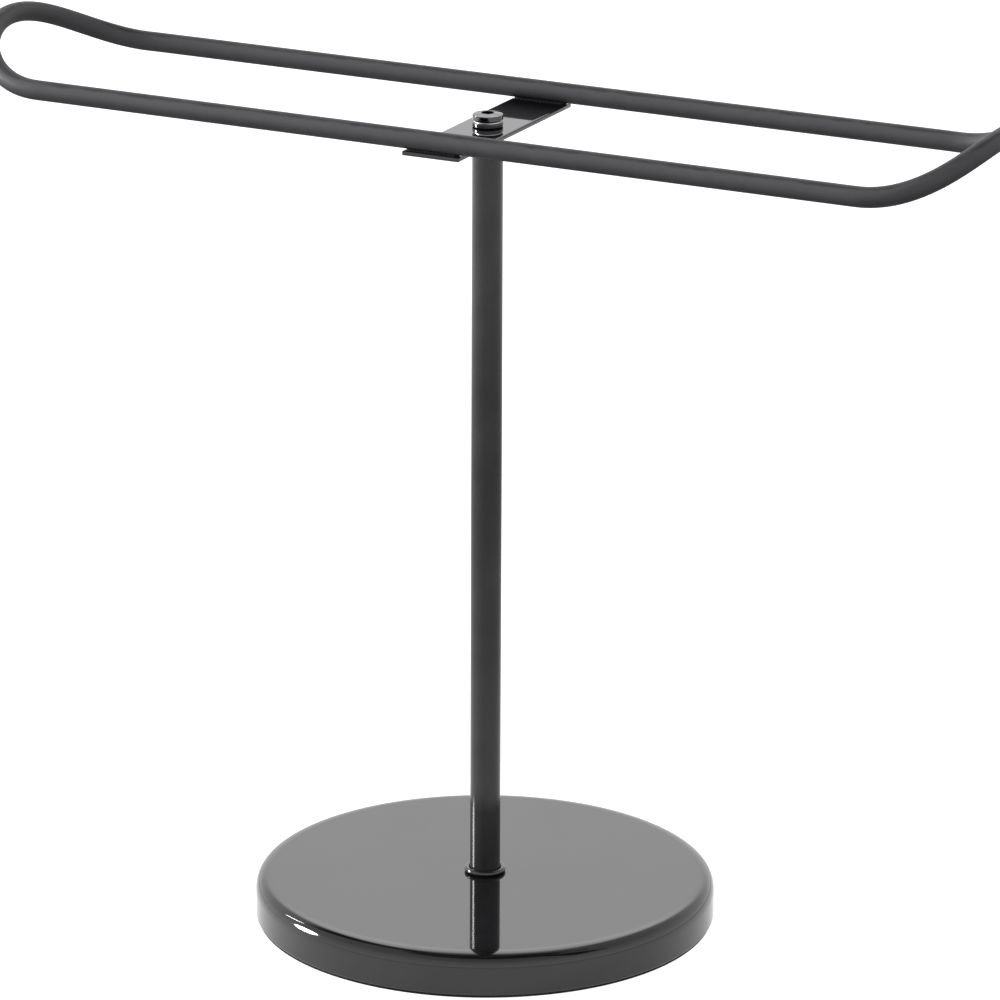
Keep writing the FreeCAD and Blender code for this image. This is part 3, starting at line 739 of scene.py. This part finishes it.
def make_plate():
    """Flat cross plate with broken edges and the bushing's hole."""
    low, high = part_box("cross_plate")
    hole = BUSHING_SLEEVE / 2
    steps = 4
    turns = [math.pi / 2 * step / steps for step in range(steps + 1)]

    def outline(inset, level):
        corner = max(PLATE_EDGE - inset, PLATE_LEAST_CORNER)
        return filled_sides(rectangle(high.x - inset, high.y - inset, corner, level))

    def ring(level):
        return [Vector((*(point.xy.normalized() * hole), level)) for point in outline(0.0, level)]

    loops = [ring(low.z), outline(PLATE_EDGE + PLATE_FLAT_MARGIN, low.z)]
    for turn in turns:
        inset, rise = PLATE_EDGE * (1 - math.sin(turn)), PLATE_EDGE * (1 - math.cos(turn))
        loops.append(outline(inset, low.z + rise))
    for turn in turns:
        inset, drop = PLATE_EDGE * (1 - math.cos(turn)), PLATE_EDGE * (1 - math.sin(turn))
        loops.append(outline(inset, high.z - drop))
    loops += [outline(PLATE_EDGE + PLATE_FLAT_MARGIN, high.z), ring(high.z)]
    work = bmesh.new()
    add_loft(work, loops, closed=True)
    stands_for(make_piece("lacquered_plate", work), "cross_plate")


def loop_frame(side, turn):
    """Centre of the wire at an end, with the two directions across it; side is 1 for +X and -1 for -X."""
    along = END_REACH - BAR_OFFSET + BAR_OFFSET * math.cos(turn)
    past = max(along - END_BEND_START, 0.0)
    lift = past / END_BEND_RADIUS
    point = Vector(
        (
            along - past + END_BEND_RADIUS * math.sin(lift),
            BAR_OFFSET * math.sin(turn),
            BAR_LEVEL + END_BEND_RADIUS * (1 - math.cos(lift)),
        )
    )
    outward = Vector((math.cos(turn) * math.cos(lift), math.sin(turn), math.cos(turn) * math.sin(lift)))
    upward = Vector((-math.sin(lift), 0.0, math.cos(lift)))
    if side < 0:
        flip = Matrix.Rotation(math.pi, 3, "Z")
        return flip @ point, flip @ outward, flip @ upward
    return point, outward, upward


def make_wire():
    """The closed loop of round wire: two bars and two raised ends."""
    frames = []
    for side in (1, -1):
        ends = [loop_frame(side, math.pi * (step / END_SPANS - 0.5)) for step in range(END_SPANS + 1)]
        frames += ends
        (start, outward, upward), stop = ends[-1], loop_frame(-side, -math.pi / 2)[0]
        for step in range(1, BAR_SPANS):
            frames.append((start.lerp(stop, step / BAR_SPANS), outward, upward))
    turns = [math.tau * step / WIRE_TURN for step in range(WIRE_TURN)]
    loops = [
        [
            point + WIRE_RADIUS * (math.cos(turn) * outward + math.sin(turn) * upward)
            for turn in turns
        ]
        for point, outward, upward in frames
    ]
    work = bmesh.new()
    add_loft(work, loops, closed=True)
    stands_for(make_piece("wire_loop_bars", work), "wire_loop")


def make_welds():
    """Seams between the bars and the cross plate: hollow sides, fine ripples, tapered ends."""
    low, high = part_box("weld_seams")
    work = bmesh.new()
    for bar in (-BAR_OFFSET, BAR_OFFSET):
        loops = []
        for span in range(SEAM_SPANS + 1):
            x = low.x + (high.x - low.x) * span / SEAM_SPANS
            from_end = min(x - low.x, high.x - x)
            taper = math.sqrt(min(1.0, (from_end + SEAM_END_MARGIN) / SEAM_END))
            ripple = SEAM_RIPPLE_DEPTH * (1 + math.cos(math.tau * x / SEAM_RIPPLE)) / 2
            half = (SEAM_WIDTH / 2 - ripple) * taper
            foot = [Vector((x, bar - half, low.z)), Vector((x, bar + half, low.z))]
            crown = []
            for step in range(SEAM_CROWN_SPANS + 1):
                offset = SEAM_CROWN_SHARE * half * (1 - 2 * step / SEAM_CROWN_SPANS)
                under = BAR_LEVEL - math.sqrt(WIRE_RADIUS**2 - offset**2)
                crown.append(Vector((x, bar + offset, under)))
            loops.append(foot + crown)
        rings = add_loft(work, loops)
        work.faces.new(rings[0])
        work.faces.new(rings[-1])
    stands_for(make_piece("weld_beads", work), "weld_seams")


make_cover()
make_pad()
make_pole()
make_foot_ring()
make_washer("thrust_washer", "lower_thrust_washer", WASHER_HOLE, THIN_EDGE)
make_washer("polished_washer", "upper_washer", WASHER_HOLE, WASHER_ROUNDING)
make_spring_washer()
make_bushing()
make_screw()
make_plate()
make_wire()
make_welds()

# CAD nodes that stay as they are get their finish here.
for name, node in frame["nodes"].items():
    if not node.hide_render:
        for material_slot in node.material_slots:
            material_slot.material = finishes[slot_of[name]]

# ---------------------------------------------------------------- stage, light and camera

# The floor's glow on the rack is full near the pole, dims over the first range of distances, and returns over
# the second. The camera sees it at full strength everywhere.
FLOOR_HALF = 25.0
FLOOR_GAP = 0.02 * MM
FLOOR_GLOW = (1.0, 0.15)
FLOOR_GLOW_REACH = (0.08, 0.30)
FLOOR_GLOW_RETURN = (0.33, 0.60)

# Brightness of the room by elevation, in general and towards the bright screen at the back, and the dark seams
# between its walls. All angles are in degrees; an edge goes from where a change begins to where it is full.
# The ramps hold shares of the room's strength.
ROOM_LIGHT = ((0, 1.6), (30, 1.2), (42, 0.9), (68, 0.65), (73, 0.05))
SCREEN_LIGHT = ((0, 1.3), (18, 1.5), (26, 2.0), (36, 3.2), (52, 3.2), (62, 1.2), (72, 0.3))
SCREEN_AZIMUTH = -154.0
SCREEN_EDGE = (26.0, 11.0)
WALL_SEAM_AZIMUTHS = (-119.0, 91.0)
WALL_SEAM_EDGE = (15.0, 9.0)
WALL_SEAM_ELEVATIONS = (40.0, 48.0)
ROOM_STRENGTH = 5.0

# Name, azimuth and elevation in degrees, size in metres, power in watts.
LAMPS = (
    ("key", (-73.5, 18.5), (0.40, 0.50), 40.0),
    ("strip", (-100.3, 33.5), (0.05, 0.31), 1.5),
)
LAMP_DISTANCE = 1.5

# The camera is aimed at a height on the pole's axis and then moved sideways. Angles are in degrees, and the
# lens and sensor in millimetres.
CAMERA_AZIMUTH = 26.628
CAMERA_ELEVATION = 17.753
CAMERA_ROLL = 0.25
CAMERA_DISTANCE = 1.3116
CAMERA_AIM = 0.09445
CAMERA_SIDESTEP = 2.916 * MM
CAMERA_LENS = 220.63
CAMERA_SENSOR = 36.0
CAMERA_CLIP = (0.05, 200.0)


def direction(azimuth, elevation):
    """Unit vector from the object towards a viewer at these angles."""
    turn, rise = math.radians(azimuth), math.radians(elevation)
    return Vector((math.sin(turn) * math.cos(rise), -math.cos(turn) * math.cos(rise), math.sin(rise)))


def floor_paper():
    """White to the camera and clear from below; its glow on the rack dims in a ring around it."""
    finish = Finish("white_paper", IOR=1.4)
    finish.shader.inputs["Specular IOR Level"].default_value = 0.1
    finish.shader.inputs["Emission Color"].default_value = (1, 1, 1, 1)
    fibres = finish.noise(3 * MM, 4.0)
    colour = finish.tones(fibres, (0.24, 0.24, 0.24), (0.26, 0.26, 0.26))
    distance = finish.length(finish.place)
    near = finish.spread(distance, FLOOR_GLOW_REACH, FLOOR_GLOW)
    far = finish.spread(distance, FLOOR_GLOW_RETURN, FLOOR_GLOW[::-1])
    glow = finish.maths("MAXIMUM", near, far)
    seen = finish.add("ShaderNodeLightPath").outputs["Is Camera Ray"]
    strength = finish.maths("MAXIMUM", glow, finish.maths("MULTIPLY", seen, FLOOR_GLOW[0]))
    finish.tree.links.new(strength, finish.shader.inputs["Emission Strength"])
    material = finish.done(colour, finish.spread(fibres, NOISE_RANGE, (0.85, 0.95)))
    from_below = finish.add("ShaderNodeNewGeometry").outputs["Backfacing"]
    clear = finish.add("ShaderNodeBsdfTransparent").outputs["BSDF"]
    layers = {0: from_below, 1: finish.shader.outputs["BSDF"], 2: clear}
    surface = finish.add("ShaderNodeMixShader", layers).outputs[0]
    finish.tree.links.new(surface, finish.tree.nodes["Material Output"].inputs["Surface"])
    return material


def make_floor():
    """Wide sheet just below the rack; its normal has to face up, since the paper is clear from behind."""
    work = bmesh.new()
    bmesh.ops.create_grid(work, x_segments=8, y_segments=8, size=FLOOR_HALF)
    bmesh.ops.translate(work, verts=work.verts, vec=(0, 0, -FLOOR_GAP))
    floor = make_piece("floor", work)
    if floor.data.polygons[0].normal.z < 0:
        floor.data.flip_normals()
    floor.data.materials.append(floor_paper())


def brightness(nodes, height, stops):
    """Grey level by elevation; height is the sine of the elevation."""
    ramp = nodes.add("ShaderNodeValToRGB", {"Fac": height})
    while len(ramp.color_ramp.elements) < len(stops):
        ramp.color_ramp.elements.new(0.5)
    for element, (elevation, value) in zip(ramp.color_ramp.elements, stops):
        element.position = math.sin(math.radians(elevation))
        element.color = (value / ROOM_STRENGTH,) * 3 + (1,)
    return ramp.outputs["Color"]


def toward(nodes, heading, azimuth, edge):
    """Rises from zero to one as the heading comes within the angles of edge from the azimuth."""
    inputs = {0: heading, 1: direction(azimuth, 0.0)}
    facing = nodes.add("ShaderNodeVectorMath", inputs, operation="DOT_PRODUCT").outputs["Value"]
    start, full = (math.cos(math.radians(angle)) for angle in edge)
    return nodes.smooth_step(facing, start, full)


def make_room_light():
    """A bright room: dark ceiling, a brighter screen high up at the back, dark seams between its walls."""
    world = bpy.data.worlds.new("room")
    world.use_nodes = True
    bpy.context.scene.world = world
    nodes = Nodes(world.node_tree)
    place = nodes.add("ShaderNodeTexCoord").outputs["Generated"]
    height = nodes.height(place)
    level = {0: nodes.scaled(place, (1, 1, 0))}
    heading = nodes.add("ShaderNodeVectorMath", level, operation="NORMALIZE").outputs["Vector"]
    screen = toward(nodes, heading, SCREEN_AZIMUTH, SCREEN_EDGE)
    room = brightness(nodes, height, ROOM_LIGHT)
    light = nodes.mixed(screen, room, brightness(nodes, height, SCREEN_LIGHT))
    start, full = (math.sin(math.radians(angle)) for angle in WALL_SEAM_ELEVATIONS)
    above = nodes.smooth_step(height, start, full)
    for azimuth in WALL_SEAM_AZIMUTHS:
        seam = nodes.maths("MULTIPLY", toward(nodes, heading, azimuth, WALL_SEAM_EDGE), above)
        light = nodes.mixed(seam, light, (0.0, 0.0, 0.0))
    background = nodes.tree.nodes["Background"]
    nodes.tree.links.new(light, background.inputs["Color"])
    background.inputs["Strength"].default_value = ROOM_STRENGTH


def make_lamp(name, bearing, size, power):
    """An oval lamp in the direction of the bearing, facing the middle of the foot."""
    light = bpy.data.lights.new(name, "AREA")
    light.shape = "ELLIPSE"
    light.size, light.size_y = size
    light.energy = power
    lamp = bpy.data.objects.new(name, light)
    lamp.location = bearing * LAMP_DISTANCE
    lamp.rotation_euler = bearing.to_track_quat("Z", "Y").to_euler()
    lamp.visible_camera = False
    bpy.context.scene.collection.objects.link(lamp)


def make_camera():
    """A long lens with a slight roll."""
    back = direction(CAMERA_AZIMUTH, CAMERA_ELEVATION)
    turn, roll = math.radians(CAMERA_AZIMUTH), math.radians(CAMERA_ROLL)
    level_right = Vector((math.cos(turn), math.sin(turn), 0.0))
    level_up = back.cross(level_right)
    right = level_right * math.cos(roll) + level_up * math.sin(roll)
    up = level_up * math.cos(roll) - level_right * math.sin(roll)
    lens = bpy.data.cameras.new("camera")
    lens.sensor_width = CAMERA_SENSOR
    lens.lens = CAMERA_LENS
    lens.clip_start, lens.clip_end = CAMERA_CLIP
    camera = bpy.data.objects.new("camera", lens)
    place = Vector((0, 0, CAMERA_AIM)) + back * CAMERA_DISTANCE + right * CAMERA_SIDESTEP
    camera.matrix_world = Matrix.Translation(place) @ Matrix((right, up, back)).transposed().to_4x4()
    bpy.context.scene.collection.objects.link(camera)
    bpy.context.scene.camera = camera


make_floor()
make_room_light()
for lamp_name, bearing, lamp_size, power in LAMPS:
    make_lamp(lamp_name, direction(*bearing), lamp_size, power)
make_camera()
bpy.context.scene.view_settings.view_transform = "Standard"
